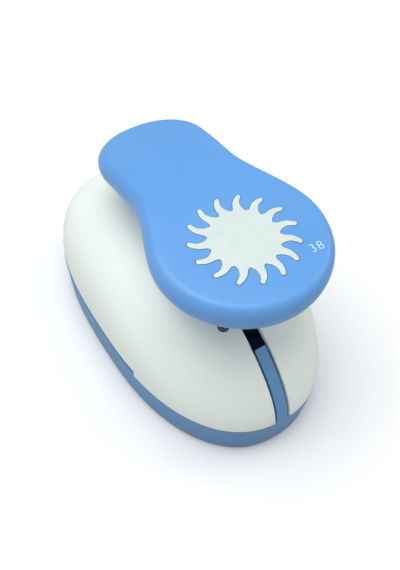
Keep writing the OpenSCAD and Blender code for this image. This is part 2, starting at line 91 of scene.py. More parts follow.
HALF_W = BASE_HIGH.x                       # half the body's width
WIDEST_Y = -3.1 * MM                       # the widest section sits in front of the middle
FRONT_L = WIDEST_Y - BASE_LOW.y            # widest section to the front end
REAR_L = BASE_HIGH.y - WIDEST_Y            # widest section to the rear end
FRONT_ROUND = 2.26
REAR_ROUND = 2.76
BASE_Z = BASE_LOW.z
RIM_Z = HOUSING_LOW.z
DOME_H = HOUSING_HIGH.z - RIM_Z
FRONT_DOME = 1.77
REAR_DOME = 2.71
SIDE_DOME = 2.89
BASE_TUCK = 1.3 * MM                       # the base's lower edge lies this far in from its rim
WALL = 2.0 * MM
DECK_T = 3.5 * MM
THROAT_H = 2.5 * MM
THROAT_Y = SPACER_HIGH.y
PUNCH_Y = (PUNCH_LOW.y + PUNCH_HIGH.y) / 2
PIVOT_Y = HINGE["pos_m"][1]
FRONT_SCREW_Y = DIE_LOW.y - 7 * MM         # screw posts in front of the die
FRONT_SCREW_IN = 10.2 * MM                 # and their distance in from the side
REAR_SCREW_Y = PIVOT_Y - 6 * MM            # screw posts beside the hinge
REAR_SCREW_IN = 10.4 * MM
DIE_SCREW_Y = THROAT_Y + 9 * MM            # bosses for the die's screws
DIE_SCREW_IN = 12.3 * MM
FEET = ((BASE_LOW.y + 13.6 * MM, 10.5 * MM), (BASE_HIGH.y - 12.6 * MM, 10.3 * MM))
FOOT_R = 4.5 * MM
POST_R = 3.4 * MM
PILOT_R = 1.5 * MM                         # hole that a screw cuts its own thread in
BORE_EDGE = 0.01 * MM                      # the ends of a cutting rod are left almost sharp
OVER = 1 * MM                              # how far a cutting rod runs past what it cuts
CHUTE_R = 19.5 * MM
STRIP_GAP = 0.8 * MM                       # between the front strip and each side of the slot
STRIP_SUNK = 1.0 * MM                      # the strip starts this far below the rim
STRIP_UP = 21.5 * MM                       # and ends this far above it
RECESS_R = 1.7 * MM                        # driver recess in a screw head
HEAD_REACH = 3.4 * MM                      # points this close in plan belong to one screw
FRONT_POST_TOP = 33 * MM                   # the housing's screw posts run up into the dome to here
REAR_POST_TOP = 37 * MM
POST_HOLE_L = 9 * MM
WIRE_R = 0.45 * MM                         # wire of the return springs

LOBE_R = CAP_HIGH.x                        # the lever's round front lobe
LOBE_Y = CAP_LOW.y + LOBE_R
NECK_W = 19.0 * MM
NECK_Y = LOBE_Y + 33.0 * MM
TAIL_ROUND = 17.6 * MM
TAIL_Y = CAP_HIGH.y - TAIL_ROUND
TAIL_L = CAP_HIGH.y - LOBE_Y
TAIL_CURVE = 2.16
LEVER_FALL = 0.007                         # the top face falls by this share of the length to the rear
BEND_BACK = 14.0 * MM                      # the top face bends down from this far behind the lobe's centre
BEND_DROP = 9.4 * MM                       # and has come down this far at the rear end
EDGE_IN = 3.5 * MM
EDGE_DOWN = 4.6 * MM
RIM_IN = 1.0 * MM
LEVER_Z = CAP_HIGH.z - LEVER_FALL * (LOBE_R - EDGE_IN)
CAP_H = 9.0 * MM
CAP_WALL = 2.0 * MM
BUMPER_X = 15.7 * MM
BUMPER_Y = LOBE_Y - 16.3 * MM
BUMPER_POST_R = 2.8 * MM
ARM_SCREW_X = 7 * MM
ARM_SCREWS_Y = (LOBE_Y - 3 * MM, TAIL_Y - 12 * MM)
FLANGE_DROP = 5.75 * MM                    # the arm's flange lies this far below the slope of the top face
ROOF_T = 2.2 * MM

SUN_R = 17.1 * MM
DISC_R = 11.0 * MM
RAYS = 15
RAY_ROOT = 1.4 * MM
RAY_TIP = 0.75 * MM
RAY_LEAN = 3.0
RAY_BOW = 2.8
SUN_TURN = 17.2
SUN_Y = LOBE_Y - 1.7 * MM
SUN_PROUD = 0.22 * MM                      # the sun stands this far above the lever
SEAT_GAP = 0.22 * MM                       # and has this much room all round in its seat
MARK_X, MARK_Y = 16.4 * MM, SUN_Y - 13.3 * MM
MARK_SIZE = 4.4 * MM
MARK_TURN = -3

# ---------- light and camera ----------

LIGHTS = (("key_light", (-0.2, 0.12, 0.9), 0.95, 6.2),         # name, place, size, power
          ("side_light", (0.7, -0.1, 0.55), 0.6, 1.4),
          ("edge_light", (-0.62, 0.25, 0.45), 0.25, 0.35))
LIGHT_AIM = Vector((0, 0, 0.04))
SKY_STRENGTH = 0.5
VIEW_AROUND, VIEW_ABOVE, VIEW_ROLL = -36.07, 52.89, 4.555      # degrees
VIEW_DISTANCE = 0.2949
VIEW_TARGET = Vector((0, WIDEST_Y, 0.0288))
LENS, SENSOR = 53.7, 36
LENS_SHIFT = (0.0099, -0.0127)


# ---------- small tools for modelling ----------

def only(ob):
    """Leaves ob the one selected and active object."""
    if bpy.context.object and bpy.context.object.mode != "OBJECT":
        bpy.ops.object.mode_set(mode="OBJECT")
    bpy.ops.object.select_all(action="DESELECT")
    if ob is not None:
        ob.select_set(True)
        bpy.context.view_layer.objects.active = ob


def added(name):
    """The object that a primitive operator has just added, named."""
    ob = bpy.context.object
    ob.name = name
    ob.data.name = name
    return ob


def edit(ob):
    only(ob)
    bpy.ops.object.mode_set(mode="EDIT")
    return bmesh.from_edit_mesh(ob.data)


def leave():
    bpy.ops.object.mode_set(mode="OBJECT")


def pick_faces(ob, test):
    """Selects in edit mode the faces whose middle and normal pass the test; returns how many."""
    mesh = bmesh.from_edit_mesh(ob.data)
    bpy.ops.mesh.select_mode(type="FACE")
    bpy.ops.mesh.select_all(action="DESELECT")
    count = 0
    for face in mesh.faces:
        if test(face.calc_center_median(), face.normal):
            face.select_set(True)
            count += 1
    bmesh.update_edit_mesh(ob.data)
    return count


def settle(ob):
    """Puts the object's place and turn into its mesh."""
    only(ob)
    bpy.ops.object.transform_apply(location=True, rotation=True, scale=True)


def outwards(ob):
    edit(ob)
    bpy.ops.mesh.select_all(action="SELECT")
    bpy.ops.mesh.normals_make_consistent(inside=False)
    leave()


def modify(ob, kind, **values):
    """Adds a modifier, sets its values and applies it."""
    only(ob)
    bpy.ops.object.modifier_add(type=kind)
    modifier = ob.modifiers[-1]
    for key, value in values.items():
        setattr(modifier, key, value)
    bpy.ops.object.modifier_apply(modifier=modifier.name)


def soften(ob, width, angle=35, segments=2, held=False):
    """Rounds every edge sharper than the angle; held keeps the rounding short of the next edge."""
    modify(ob, "BEVEL", width=width, segments=segments, limit_method="ANGLE", angle_limit=radians(angle),
           use_clamp_overlap=held, harden_normals=False)


def smooth(ob, angle=35):
    only(ob)
    bpy.ops.object.shade_smooth_by_angle(angle=radians(angle))


def cut(ob, tool):
    modify(ob, "BOOLEAN", operation="DIFFERENCE", solver="EXACT", object=tool)
    bpy.data.objects.remove(tool, do_unlink=True)


def add_to(ob, tool):
    modify(ob, "BOOLEAN", operation="UNION", solver="EXACT", object=tool)
    bpy.data.objects.remove(tool, do_unlink=True)


def joined(name, pieces):
    only(pieces[0])
    for piece in pieces:
        piece.select_set(True)
    bpy.ops.object.join()
    return added(name)


def moved(ob, offset):
    ob.location = Vector(offset)
    settle(ob)
    return ob


def loft(name, rings, close_first=True, close_last=True):
    """Skin through rings of equal counts of points: a circle is extruded edge by edge from ring to ring."""
    only(None)
    bpy.ops.mesh.primitive_circle_add(vertices=len(rings[0]), radius=1, fill_type="NOTHING")
    ob = added(name)
    for vertex, point in zip(ob.data.vertices, rings[0]):
        vertex.co = point
    edit(ob)
    bpy.ops.mesh.select_mode(type="VERT")
    bpy.ops.mesh.select_all(action="SELECT")
    for before, ring in zip(rings, rings[1:]):
        bpy.ops.mesh.extrude_region_move()
        place_of = {tuple(round(c, 8) for c in Vector(p)): i for i, p in enumerate(before)}
        mesh = bmesh.from_edit_mesh(ob.data)
        for vertex in mesh.verts:
            if vertex.select:
                vertex.co = ring[place_of[tuple(round(c, 8) for c in vertex.co)]]
        bmesh.update_edit_mesh(ob.data)
    if close_last:
        bpy.ops.mesh.edge_face_add()
    if close_first:
        bpy.ops.mesh.select_all(action="DESELECT")
        mesh = bmesh.from_edit_mesh(ob.data)
        mesh.verts.ensure_lookup_table()
        for i in range(len(rings[0])):
            mesh.verts[i].select_set(True)
        bmesh.update_edit_mesh(ob.data)
        bpy.ops.mesh.edge_face_add()
    leave()
    outwards(ob)
    return ob


def rounded_rod(name, radius, low, high, bevel, count=48, axis="Z", place=(0, 0, 0)):
    """Round bar with both ends chamfered, along an axis, between two distances from its place."""
    only(None)
    bpy.ops.mesh.primitive_cylinder_add(vertices=count, radius=radius, depth=high - low, end_fill_type="NGON")
    ob = added(name)
    moved(ob, (0, 0, (low + high) / 2))
    soften(ob, bevel, 60, 3)
    if axis == "X":
        ob.rotation_euler = (0, pi / 2, 0)
        settle(ob)
    return moved(ob, place)


def both_sides(point):
    """The point and its mirror image across the middle plane."""
    return [(way * point[0], point[1]) for way in (-1, 1)]


def finish_piece(ob, body, material, nodes=(), angle=35):
    """Gives a modelled piece its shading, finish, body and the CAD nodes it stands for."""
    smooth(ob, angle)
    modify(ob, "WEIGHTED_NORMAL", weight=50, keep_sharp=True)
    ob.data.materials.clear()
    ob.data.materials.append(material)
    if nodes:
        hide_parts(*nodes)
    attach(ob, body)
    only(None)


# ---------- outlines ----------

def oval(inset, count, share=0.0, lift=0.0):
    """Ring of the body's oval at a share of the dome's height, drawn in all round."""
    wide = (HALF_W - inset) * (1 - share ** SIDE_DOME) ** (1 / SIDE_DOME)
    ring = []
    for i in range(count):
        a = 2 * pi * i / count
        c, s = cos(a), sin(a)
        ahead = s < 0
        power = FRONT_ROUND if ahead else REAR_ROUND
        dome = FRONT_DOME if ahead else REAR_DOME
        reach = ((FRONT_L if ahead else REAR_L) - inset) * (1 - share ** dome) ** (1 / dome)
        r = ((abs(c) / wide) ** power + (abs(s) / reach) ** power) ** (-1 / power)
        ring.append(Vector((r * c, WIDEST_Y + r * s, lift)))
    return ring


def side_x(y, inset):
    """Half the body's width at y, less an inset."""
    ahead = y < WIDEST_Y
    power = FRONT_ROUND if ahead else REAR_ROUND
    reach = FRONT_L if ahead else REAR_L
    return HALF_W * (1 - (abs(y - WIDEST_Y) / reach) ** power) ** (1 / power) - inset


def dome_front(z, inset):
    """The dome's front edge in the middle plane at height z, drawn in by a distance."""
    share = (max(z, RIM_Z) - RIM_Z) / (DOME_H - inset)
    return WIDEST_Y - (FRONT_L - inset) * (1 - share ** FRONT_DOME) ** (1 / FRONT_DOME)


def top_at(y):
    """Height of the lever's top face at y: nearly level round the sun, bent down towards the rear."""
    back = y - LOBE_Y
    bend = max(0.0, back - BEND_BACK) / (TAIL_L - BEND_BACK)
    return LEVER_Z - LEVER_FALL * back - BEND_DROP * bend * bend


def narrowed(ring, share):
    """The ring drawn in sideways towards the middle plane."""
    return [Vector((p.x * share, p.y, p.z)) for p in ring]


def lever_outline(inset, drop):
    """Ring of the lever's keyhole outline, drawn in all round, at a drop below the sloping top face."""
    half = []
    for i in range(25):
        a = -pi / 2 + pi / 2 * i / 24
        half.append(((LOBE_R - inset) * cos(a), LOBE_Y + (LOBE_R - inset) * sin(a)))
    for i in range(1, 20):
        s = i / 19
        k = s * s * (3 - 2 * s)
        half.append((LOBE_R - inset + (NECK_W - LOBE_R) * k, LOBE_Y + (NECK_Y - LOBE_Y) * s))
    for i in range(1, 7):
        half.append((NECK_W - inset, NECK_Y + (TAIL_Y - NECK_Y) * i / 7))
    for i in range(25):
        a = pi / 2 * i / 24
        c, s = max(cos(a), 0.0), sin(a)
        wide, reach = NECK_W - inset, TAIL_ROUND - inset
        r = ((c / wide) ** TAIL_CURVE + (s / reach) ** TAIL_CURVE) ** (-1 / TAIL_CURVE)
        half.append((r * c, TAIL_Y + r * s))
    half[-1] = (0.0, half[-1][1])
    half[0] = (0.0, half[0][1])
    ring = half + [(-x, y) for x, y in reversed(half[1:-1])]
    return [Vector((x, y, top_at(y) - drop)) for x, y in ring]


def ray_mid(s):
    r = DISC_R + (SUN_R - RAY_TIP - DISC_R) * s
    a = radians(RAY_BOW * sin(pi * s) - RAY_LEAN * s)
    return Vector((r * cos(a), r * sin(a)))


def ray_way(s):
    """Direction of a ray's centre line; at the root it is straight out from the disc."""
    p = ray_mid(s)
    d = ray_mid(s + 0.01) - p
    out = atan2(p.y, p.x)
    return out + (atan2(d.y, d.x) - out) * min(1, s / 0.3)


def ray_side(s, way, grow):
    half = RAY_ROOT + (RAY_TIP - RAY_ROOT) * s + 0.45 * MM * max(0, 1 - 4 * s) ** 2 + grow
    a = ray_way(s)
    return ray_mid(s) + way * half * Vector((-sin(a), cos(a)))


def sun_outline(grow):
    """The sun's outline about its own middle; the rays lean clockwise seen from above."""
    steps = [0.02, 0.07, 0.14, 0.24, 0.36, 0.5, 0.64, 0.78, 0.9]
    ray = [ray_side(s, -1, grow) for s in steps]
    for i in range(9):
        t = ray_way(1) + radians(-90 + 22.5 * i)
        ray.append(ray_mid(1) + (RAY_TIP + grow) * Vector((cos(t), sin(t))))
    ray += [ray_side(s, 1, grow) for s in reversed(steps)]
    valley = DISC_R + grow - 0.1 * MM
    for turn in (10.8, 12, 13.2):
        ray.append(valley * Vector((cos(radians(turn)), sin(radians(turn)))))
    points = []
    for k in range(RAYS):
        a = radians(SUN_TURN) + 2 * pi * k / RAYS
        points += [Vector((p.x * cos(a) - p.y * sin(a), p.x * sin(a) + p.y * cos(a))) for p in ray]
    return points


def sun_ring(grow, height, middle_y, slope=0.0):
    """The sun's outline as a ring at a height; slope carries it onto the lever's sloping top."""
    ring = [(p.x, p.y + middle_y) for p in sun_outline(grow)]
    return [Vector((x, y, height - slope * (y - LOBE_Y))) for x, y in ring]


# ---------- shader tools ----------

def new_group(name, inputs, outputs):
    group = bpy.data.node_groups.new(name, "ShaderNodeTree")
    for label, default in inputs:
        socket = group.interface.new_socket(label, in_out="INPUT", socket_type="NodeSocketFloat")
        socket.default_value = default
    for label in outputs:
        group.interface.new_socket(label, in_out="OUTPUT", socket_type="NodeSocketFloat")
    start = group.nodes.new("NodeGroupInput")
    end = group.nodes.new("NodeGroupOutput")
    return group, start, end


def maths(tree, operation, a, b=None, clamp=False):
    node = tree.nodes.new("ShaderNodeMath")
    node.operation = operation
    node.use_clamp = clamp
    for i, value in enumerate((a, b)):
        if value is None:
            continue
        if isinstance(value, (int, float)):
            node.inputs[i].default_value = value
        else:
            tree.links.new(value, node.inputs[i])
    return node.outputs[0]


def ramp(tree, value, low, high, to_low=0.0, to_high=1.0):
    node = tree.nodes.new("ShaderNodeMapRange")
    node.inputs["From Min"].default_value = low
    node.inputs["From Max"].default_value = high
    node.inputs["To Min"].default_value = to_low
    node.inputs["To Max"].default_value = to_high
    tree.links.new(value, node.inputs["Value"])
    return node.outputs["Result"]


def noise(tree, where, scale, detail=3.0, rough=0.55, stretch=None):
    """Noise on a place; scale is a number or a socket, stretch scales the axes apart."""
    if stretch:
        mapping = tree.nodes.new("ShaderNodeMapping")
        mapping.inputs["Scale"].default_value = stretch
        tree.links.new(where, mapping.inputs["Vector"])
        where = mapping.outputs[0]
    node = tree.nodes.new("ShaderNodeTexNoise")
    node.inputs["Detail"].default_value = detail
    node.inputs["Roughness"].default_value = rough
    if isinstance(scale, (int, float)):
        node.inputs["Scale"].default_value = scale
    else:
        tree.links.new(scale, node.inputs["Scale"])
    tree.links.new(where, node.inputs["Vector"])
    return node.outputs["Fac"]


def moulded_grain():
    """Fine grain, slow tone drift and faint scuffs of moulded plastic, from sizes per metre."""
    group, start, end = new_group("moulded_grain", [("Grain Scale", 3500.0), ("Tone Scale", 25.0)],
                                  ["Height", "Tone", "Scuff"])
    where = group.nodes.new("ShaderNodeTexCoord").outputs["Object"]
    fine = noise(group, where, start.outputs["Grain Scale"], 2.0)
    flow = noise(group, where, start.outputs["Tone Scale"], 4.0)
    hair = noise(group, where, 900.0, 2.0, 0.4, (1.0, 0.06, 0.5))
    hair_two = noise(group, where, 700.0, 2.0, 0.4, (0.07, 1.0, 0.5))
    patches = noise(group, where, 60.0, 2.0)
    lines = maths(group, "MAXIMUM", ramp(group, hair, 0.66, 0.74), ramp(group, hair_two, 0.66, 0.74))
    scuff = maths(group, "MULTIPLY", lines, ramp(group, patches, 0.5, 0.7))
    group.links.new(fine, end.inputs["Height"])
    group.links.new(flow, end.inputs["Tone"])
    group.links.new(scuff, end.inputs["Scuff"])
    return group


def edge_rub():
    """Mask that is bright on raised edges, broken up by noise."""
    group, start, end = new_group("edge_rub", [("Sharpness", 0.52)], ["Mask"])
    where = group.nodes.new("ShaderNodeTexCoord").outputs["Object"]
    point = group.nodes.new("ShaderNodeNewGeometry").outputs["Pointiness"]
    over = maths(group, "SUBTRACT", point, start.outputs["Sharpness"])
    mask = maths(group, "MULTIPLY", over, 9.0, clamp=True)
    broken = ramp(group, noise(group, where, 350.0, 3.0), 0.4, 0.65)
    group.links.new(maths(group, "MULTIPLY", mask, broken, clamp=True), end.inputs["Mask"])
    return group


def ground_lines():
    """Fine grinding lines across a steel face, with dull patches."""
    group, start, end = new_group("ground_lines", [("Line Scale", 2600.0)], ["Height", "Tone"])
    where = group.nodes.new("ShaderNodeTexCoord").outputs["Object"]
    lines = noise(group, where, start.outputs["Line Scale"], 3.0, 0.6, (1.0, 0.04, 1.0))
    patches = noise(group, where, 90.0, 4.0)
    tone = maths(group, "ADD", maths(group, "MULTIPLY", lines, 0.5), maths(group, "MULTIPLY", patches, 0.5))
    group.links.new(lines, end.inputs["Height"])
    group.links.new(tone, end.inputs["Tone"])
    return group


GROUPS = {}


def effect(tree, name, **values):
    """Places a shared effect in a material with its own values."""
    makers = {"moulded_grain": moulded_grain, "edge_rub": edge_rub, "ground_lines": ground_lines}
    if name not in GROUPS:
        GROUPS[name] = makers[name]()
    node = tree.nodes.new("ShaderNodeGroup")
    node.node_tree = GROUPS[name]
    for key, value in values.items():
        node.inputs[key.replace("_", " ").title()].default_value = value
    return node.outputs


def blend_colours(tree, factor, low, high):
    node = tree.nodes.new("ShaderNodeMix")
    node.data_type = "RGBA"
    tree.links.new(factor, node.inputs["Factor"])
    for i, value in ((6, low), (7, high)):
        if isinstance(value, (tuple, list)):
            node.inputs[i].default_value = (*value[:3], 1.0)
        else:
            tree.links.new(value, node.inputs[i])
    return node.outputs[2]


def tint(colour, share):
    """The colour made lighter by a share, or darker by a negative one."""
    if share < 0:
        return tuple(c * (1 + share) for c in colour[:3])
    return tuple(c + (1 - c) * share for c in colour[:3])


def new_material(name):
    material = bpy.data.materials.new(name)
    material.use_nodes = True
    tree = material.node_tree
    return material, tree, tree.nodes["Principled BSDF"]


def put_bump(tree, shader, height, depth, distance=0.0002):
    bump = tree.nodes.new("ShaderNodeBump")
    bump.inputs["Strength"].default_value = depth
    bump.inputs["Distance"].default_value = distance
    tree.links.new(height, bump.inputs["Height"])
    tree.links.new(bump.outputs[0], shader.inputs["Normal"])


MATERIALS = {}


def plastic(name, colour, rough, grain_scale=3500.0, grain_depth=0.12, drift=0.05, scuffs=0.12, wear=0.12):
    """Moulded plastic: grain, slow colour drift, faint scuffs and paler rubbed edges."""
    if name in MATERIALS:
        return MATERIALS[name]
    material, tree, shader = new_material(name)
    grain = effect(tree, "moulded_grain", grain_scale=grain_scale)
    rub = effect(tree, "edge_rub")
    tone = ramp(tree, grain["Tone"], 0.35, 0.65)
    base = blend_colours(tree, tone, tint(colour, -drift), tint(colour, drift * 0.5))
    base = blend_colours(tree, maths(tree, "MULTIPLY", grain["Scuff"], scuffs), base, tint(colour, 0.5))
    base = blend_colours(tree, maths(tree, "MULTIPLY", rub["Mask"], wear), base, tint(colour, 0.55))
    tree.links.new(base, shader.inputs["Base Color"])
    roughness = maths(tree, "ADD", ramp(tree, grain["Tone"], 0.3, 0.7, rough - 0.04, rough + 0.04),
                      maths(tree, "MULTIPLY", grain["Scuff"], 0.12), clamp=True)
    tree.links.new(roughness, shader.inputs["Roughness"])
    put_bump(tree, shader, grain["Height"], grain_depth, 0.00004)
    shader.inputs["IOR"].default_value = 1.52
    MATERIALS[name] = material
    return material


def metal(name, colour, rough, line_scale=2600.0, depth=0.15, wear=0.5):
    """Ground or plated steel: fine lines, dull patches and bright rubbed edges."""
    if name in MATERIALS:
        return MATERIALS[name]
    material, tree, shader = new_material(name)
    ground = effect(tree, "ground_lines", line_scale=line_scale)
    rub = effect(tree, "edge_rub")
    tone = ramp(tree, ground["Tone"], 0.35, 0.65)
    base = blend_colours(tree, tone, tint(colour, -0.16), tint(colour, 0.06))
    base = blend_colours(tree, maths(tree, "MULTIPLY", rub["Mask"], wear), base, tint(colour, 0.4))
    tree.links.new(base, shader.inputs["Base Color"])
    roughness = ramp(tree, ground["Tone"], 0.3, 0.7, rough - 0.08, rough + 0.1)
    tree.links.new(roughness, shader.inputs["Roughness"])
    put_bump(tree, shader, ground["Height"], depth, 0.00003)
    shader.inputs["Metallic"].default_value = 1.0
    MATERIALS[name] = material
    return material


def lever_plastic():
    return plastic("lever_plastic", settings().lever_colour, 0.36, 2600.0, 0.10, 0.03, 0.10, 0.10)


def base_plastic():
    return plastic("base_plastic", settings().base_colour, 0.42, 2600.0, 0.14, 0.05, 0.15, 0.15)


def housing_plastic():
    return plastic("housing_plastic", settings().housing_colour, 0.38, 2600.0, 0.10, 0.02, 0.05, 0.05)


def grey_plastic():
    return plastic("grey_plastic", (0.12, 0.13, 0.15), 0.5, 3000.0, 0.2)


def black_rubber():
    return plastic("black_rubber", (0.008, 0.010, 0.018), 0.75, 4000.0, 0.4, 0.2, 0.1, 0.0)


def plate_steel():
    return metal("plate_steel", (0.55, 0.56, 0.58), 0.32)


def zinc_steel():
    return metal("zinc_steel", (0.60, 0.61, 0.63), 0.28, 1800.0, 0.1)


def spring_steel():
    return metal("spring_steel", (0.42, 0.43, 0.45), 0.3, 2200.0, 0.1)


def silver_foil():
    """Satin silver of the sun: very fine speckle and a slow drift in tone."""
    name = "silver_foil"
    if name in MATERIALS:
        return MATERIALS[name]
    material, tree, shader = new_material(name)
    colour = settings().sun_colour
    grain = effect(tree, "moulded_grain", grain_scale=5200.0, tone_scale=45.0)
    rub = effect(tree, "edge_rub")
    base = blend_colours(tree, ramp(tree, grain["Tone"], 0.3, 0.7), tint(colour, -0.05), tint(colour, 0.04))
    base = blend_colours(tree, maths(tree, "MULTIPLY", rub["Mask"], 0.6), base, (0.93, 0.97, 0.95))
    tree.links.new(base, shader.inputs["Base Color"])
    tree.links.new(ramp(tree, grain["Height"], 0.3, 0.7, 0.32, 0.44), shader.inputs["Roughness"])
    put_bump(tree, shader, grain["Height"], 0.25, 0.00003)
    shader.inputs["Metallic"].default_value = 0.3
    MATERIALS[name] = material
    return material


def white_print():
    return plastic("white_print", (0.60, 0.78, 0.93), 0.55, 5000.0, 0.3, 0.08, 0.3, 0.0)


def settings():
    return bpy.context.scene.craft_punch


# ---------- pieces made from the CAD's own shape ----------

def refined(name, node, bevel, angle=35, tidy_angle=0.4):
    """A copy of a CAD node's mesh, merged, with its flat faces made whole and its edges rounded."""
    source = frame["nodes"][node]
    only(source)
    bpy.ops.object.duplicate(linked=False)
    bpy.ops.object.parent_clear(type="CLEAR_KEEP_TRANSFORM")
    ob = added(name)
    for key in list(ob.keys()):
        if key.startswith("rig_"):
            del ob[key]
    edit(ob)
    bpy.ops.mesh.select_all(action="SELECT")
    bpy.ops.mesh.remove_doubles(threshold=0.002 * MM)
    bpy.ops.mesh.dissolve_limited(angle_limit=radians(tidy_angle))
    leave()
    if bevel:
        soften(ob, bevel, angle, held=True)
    return ob


# ---------- the pieces ----------

class PunchSettings(bpy.types.PropertyGroup):
    """Sizes and colours of the craft punch that a user would change."""
    lever_colour: FloatVectorProperty(
        name="Lever colour", description="Colour of the lever's plastic cap",
        subtype="COLOR", size=3, min=0, max=1, default=(0.105, 0.325, 0.72))
    base_colour: FloatVectorProperty(
        name="Base colour", description="Colour of the base and of the lever's arm",
        subtype="COLOR", size=3, min=0, max=1, default=(0.105, 0.285, 0.54))
    housing_colour: FloatVectorProperty(
        name="Housing colour", description="Colour of the domed housing",
        subtype="COLOR", size=3, min=0, max=1, default=(0.84, 0.91, 0.85))
    sun_colour: FloatVectorProperty(
        name="Sun colour", description="Colour of the sun on the lever",
        subtype="COLOR", size=3, min=0, max=1, default=(0.68, 0.78, 0.75))
    slot_width: FloatProperty(
        name="Slot width", description="Width of the slot that the lever's arm passes through",
        subtype="DISTANCE", unit="LENGTH", min=0.0054, max=0.007, default=0.0058)
    edge_round: FloatProperty(
        name="Edge rounding", description="Width of the rounding along the housing's and the base's edges",
        subtype="DISTANCE", unit="LENGTH", min=0.0001, max=0.0006, default=0.0003)
    size_mark: StringProperty(
        name="Size mark", description="Size in millimetres printed beside the sun", default="38")
    spring_coils: IntProperty(
        name="Spring coils", description="Turns of each return spring", min=4, max=7, default=5)


def front_spine(slot_w):
    """Upright strip that fills the lower part of the housing's slot, flush with the dome."""
    half = slot_w / 2 - STRIP_GAP
    low = RIM_Z - STRIP_SUNK
    rise = STRIP_UP + STRIP_SUNK
    inner_rise = rise - 4.6 * MM           # the inner face stops lower, so that the upper end is upright
    proud_in, thick = 0.3 * MM, 3.5 * MM
    count = 28
    steps = [i / count for i in range(count + 1)]
    outer = [(dome_front(low + rise * t, proud_in), low + rise * t) for t in steps]
    inner = [(dome_front(low + inner_rise * t, proud_in + thick), low + inner_rise * t)
             for t in reversed(steps)]
    rings = [[Vector((x, y, z)) for y, z in outer + inner] for x in (-half, half)]
    strip = loft("spine", rings)
    soften(strip, 0.35 * MM, 50, 3)
    return strip


class BASE_OT_build(bpy.types.Operator):
    """Builds the oval base with its deck, die pocket, chute, bosses and front spine."""
    bl_idname = "craft_punch.base"
    bl_label = "Base"

    def execute(self, context):
        count = 192
        inner = BASE_TUCK + WALL
        profile = [(inner, RIM_Z - DECK_T), (inner, BASE_Z + 0.3 * MM), (inner - 0.3 * MM, BASE_Z),
                   (BASE_TUCK + 0.5 * MM, BASE_Z), (BASE_TUCK + 0.15 * MM, BASE_Z + 0.15 * MM),
                   (BASE_TUCK, BASE_Z + 0.5 * MM)]
        rise = RIM_Z - BASE_Z
        for share in (0.25, 0.5, 0.75, 0.93):
            profile.append((BASE_TUCK * (1 - share), BASE_Z + rise * share))
        corner = 0.6 * MM
        for turn in (0, 30, 60, 90):
            profile.append((corner * (1 - cos(radians(turn))), RIM_Z - corner * (1 - sin(radians(turn)))))
        rings = [oval(inset, count, 0.0, z) for inset, z in profile]
        base = loft("base_tray", rings)
        for tool in self.bosses():
            add_to(base, tool)
        for tool in self.holes():
            cut(base, tool)
        soften(base, 0.18 * MM, 50, 2)
        spine = front_spine(settings().slot_width)
        base = joined("base_tray", [base, spine])
        finish_piece(base, "body", base_plastic(), ["base"], 30)
        return {"FINISHED"}

    def bosses(self):
        """Chute round the falling shapes, foot pads and screw bosses under the deck."""
        deck = RIM_Z - DECK_T + 0.5 * MM
        tools = [rounded_rod("chute", CHUTE_R + WALL, BASE_Z + 0.2 * MM, deck, 0.2 * MM, 96,
                             place=(0, PUNCH_Y, 0))]
        for y, inset in FEET:
            for x, y2 in both_sides((side_x(y, inset), y)):
                tools.append(rounded_rod("foot_pad", FOOT_R + 1 * MM, BASE_Z, deck, 0.1 * MM,
                                         place=(x, y2, 0)))
        for y, inset, radius in ((FRONT_SCREW_Y, FRONT_SCREW_IN, 4.4 * MM),
                                 (REAR_SCREW_Y, REAR_SCREW_IN, POST_R),
                                 (DIE_SCREW_Y, DIE_SCREW_IN, POST_R)):
            for x, y2 in both_sides((side_x(y, inset), y)):
                tools.append(rounded_rod("boss", radius, BASE_Z + 3 * MM, deck, 0.2 * MM, place=(x, y2, 0)))
        return tools

    def holes(self):
        """Pocket for the die, the chute's bore, screw holes and room for the rivet heads."""
        pocket = [oval(6 * MM - 0.15 * MM, 96, 0.0, z) for z in (DIE_LOW.z, RIM_Z + 1 * MM)]
        pocket = loft("pocket", pocket)
        for y, way in ((DIE_LOW.y - 0.2 * MM, -1), (DIE_HIGH.y + 0.2 * MM, 1)):
            edit(pocket)
            bpy.ops.mesh.select_all(action="SELECT")
            bpy.ops.mesh.bisect(plane_co=(0, y, 0), plane_no=(0, way, 0), use_fill=True, clear_outer=True)
            leave()
        outwards(pocket)
        tools = [pocket]
        tools.append(rounded_rod("bore", CHUTE_R, -OVER, RIM_Z + OVER, BORE_EDGE, 96, place=(0, PUNCH_Y, 0)))
        low, high = BASE_Z - OVER, RIM_Z + OVER
        for x, y in both_sides((side_x(FRONT_SCREW_Y, FRONT_SCREW_IN), FRONT_SCREW_Y)):
            tools.append(rounded_rod("hole", 1.7 * MM, low, high, BORE_EDGE, place=(x, y, 0)))
            tools.append(rounded_rod("sink", 3.1 * MM, low, BASE_Z + 4.8 * MM, BORE_EDGE, place=(x, y, 0)))
        rivet_y = (SPACER_LOW.y + SPACER_HIGH.y) / 2
        for x, y in both_sides((side_x(rivet_y, 13 * MM), rivet_y)):
            tools.append(rounded_rod("rivet_room", 3.3 * MM, low, high, BORE_EDGE, place=(x, y, 0)))
        for y, inset in ((REAR_SCREW_Y, REAR_SCREW_IN), (DIE_SCREW_Y, DIE_SCREW_IN)):
            for x, y2 in both_sides((side_x(y, inset), y)):
                tools.append(rounded_rod("pilot", PILOT_R, BASE_Z + 4 * MM, high, BORE_EDGE,
                                         place=(x, y2, 0)))
        return tools


